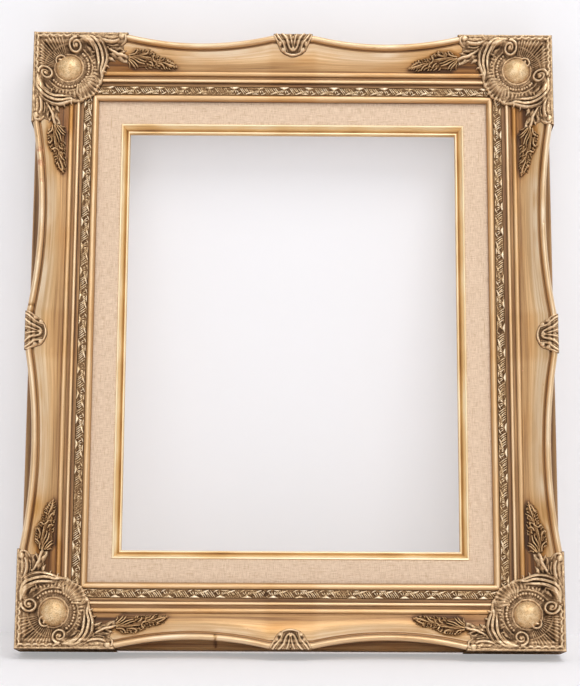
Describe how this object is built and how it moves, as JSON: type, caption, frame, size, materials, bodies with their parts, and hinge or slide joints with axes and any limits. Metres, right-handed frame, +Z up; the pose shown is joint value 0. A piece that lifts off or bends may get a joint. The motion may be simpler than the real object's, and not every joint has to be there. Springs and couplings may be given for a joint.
{
  "type": "picture frame",
  "caption": "Swept antique-gilt picture frame with shell and acanthus corner castings, a linen liner with a gilt slip, and strap hangers on the back.",
  "frame": {"origin": "middle of the footprint at the lowest point: x is the middle of the width, y the middle of the overall depth with the back hardware, z=0 the underside of the bottom corner castings", "axes": "+Z up the upright frame, the decorated face looks along -Y, +Y is the wall side, +X to the right as seen from the front"},
  "size_m": [0.424, 0.0482, 0.5001],
  "materials": {
    "gilt_wood": "antique champagne-gold leaf, rubbed",
    "gilt_casting": "antique gilt with dark patina in the hollows",
    "leaf_course": "antique gilt with dark patina in the hollows",
    "liner_wood": "bare softwood",
    "linen": "natural linen",
    "gilt_slip": "satin gold leaf",
    "zinc_steel": "zinc plated"
  },
  "bodies": {
    "frame": {"rail_top": "gilt_wood", "rail_bottom": "gilt_wood", "rail_left": "gilt_wood", "rail_right": "gilt_wood", "corner_top_left": "gilt_casting", "corner_top_right": "gilt_casting", "corner_bottom_left": "gilt_casting", "corner_bottom_right": "gilt_casting", "shell_top": "gilt_casting", "shell_bottom": "gilt_casting", "shell_left": "gilt_casting", "shell_right": "gilt_casting", "spray_top_left_across": "gilt_casting", "spray_top_left_down": "gilt_casting", "spray_top_right_across": "gilt_casting", "spray_top_right_down": "gilt_casting", "spray_bottom_left_across": "gilt_casting", "spray_bottom_left_up": "gilt_casting", "spray_bottom_right_across": "gilt_casting", "spray_bottom_right_up": "gilt_casting", "leaf_course_top": "leaf_course", "leaf_course_bottom": "leaf_course", "leaf_course_left": "leaf_course", "leaf_course_right": "leaf_course", "liner_top": "liner_wood", "liner_bottom": "liner_wood", "liner_left": "liner_wood", "liner_right": "liner_wood", "linen_top": "linen", "linen_bottom": "linen", "linen_left": "linen", "linen_right": "linen", "slip_top": "gilt_slip", "slip_bottom": "gilt_slip", "slip_left": "gilt_slip", "slip_right": "gilt_slip", "frame_v_nails": "zinc_steel", "liner_v_nails": "zinc_steel", "hanger_strap_left": "zinc_steel", "hanger_strap_right": "zinc_steel", "hanger_screws": "zinc_steel", "turn_button_screws": "zinc_steel"},
    "hanger_ring_left": {"hanger_ring_left": "zinc_steel"},
    "hanger_ring_right": {"hanger_ring_right": "zinc_steel"},
    "turn_button_bottom": {"turn_button_bottom": "zinc_steel"},
    "turn_button_left": {"turn_button_left": "zinc_steel"},
    "turn_button_right": {"turn_button_right": "zinc_steel"},
    "turn_button_top": {"turn_button_top": "zinc_steel"}
  },
  "joints": [
    {"name": "hanger_ring_left_swing", "type": "hinge", "parent": "frame", "child": "hanger_ring_left", "pos_m": [-0.16895, 0.02183, 0.37007], "axis": [0, 0, 1], "range_deg": [0, 175]},
    {"name": "hanger_ring_right_swing", "type": "hinge", "parent": "frame", "child": "hanger_ring_right", "pos_m": [0.16895, 0.02183, 0.37007], "axis": [0, 0, -1], "range_deg": [0, 175]},
    {"name": "turn_button_top_turn", "type": "hinge", "parent": "frame", "child": "turn_button_top", "pos_m": [0, 0.02017, 0.4631], "axis": [0, 1, 0], "range_deg": [-180, 180]},
    {"name": "turn_button_bottom_turn", "type": "hinge", "parent": "frame", "child": "turn_button_bottom", "pos_m": [0, 0.02017, 0.037], "axis": [0, 1, 0], "range_deg": [-180, 180]},
    {"name": "turn_button_left_turn", "type": "hinge", "parent": "frame", "child": "turn_button_left", "pos_m": [-0.17495, 0.02017, 0.25005], "axis": [0, 1, 0], "range_deg": [-180, 180]},
    {"name": "turn_button_right_turn", "type": "hinge", "parent": "frame", "child": "turn_button_right", "pos_m": [0.17495, 0.02017, 0.25005], "axis": [0, 1, 0], "range_deg": [-180, 180]}
  ]
}
